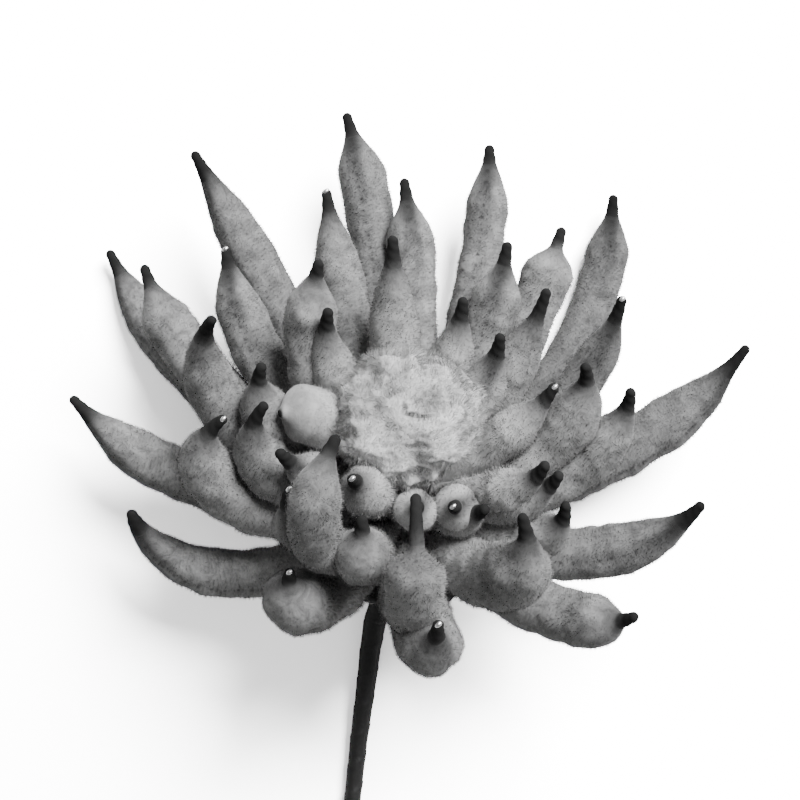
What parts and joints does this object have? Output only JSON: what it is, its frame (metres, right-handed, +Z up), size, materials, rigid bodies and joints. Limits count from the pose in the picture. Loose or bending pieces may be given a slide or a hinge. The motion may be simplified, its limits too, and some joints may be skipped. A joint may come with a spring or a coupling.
{
  "type": "chenille chrysanthemum flower",
  "caption": "Single craft chrysanthemum on a stem: plump curved chenille petals in whorls round a wound centre button, bound to a taped wire stem.",
  "frame": {"origin": "on the table, under the middle of the bounding box, with the flower lying on its stem and lower petals", "axes": "+Z up from the table; +Y from the stem's cut end towards the far petals; +X to the right seen from the stem's end"},
  "size_m": [0.151, 0.2064, 0.0784],
  "materials": {
    "chenille_pile": "soft mid grey pile, darker at the petal tips",
    "light_chenille_pile": "soft pale grey pile",
    "dark_tape": "near-black wound stem tape",
    "steel_wire": "plain steel wire"
  },
  "bodies": {
    "root": {"bloom_petals": "chenille_pile", "centre_button": "light_chenille_pile", "stem_tape": "dark_tape", "stem_wire": "steel_wire"}
  },
  "joints": []
}
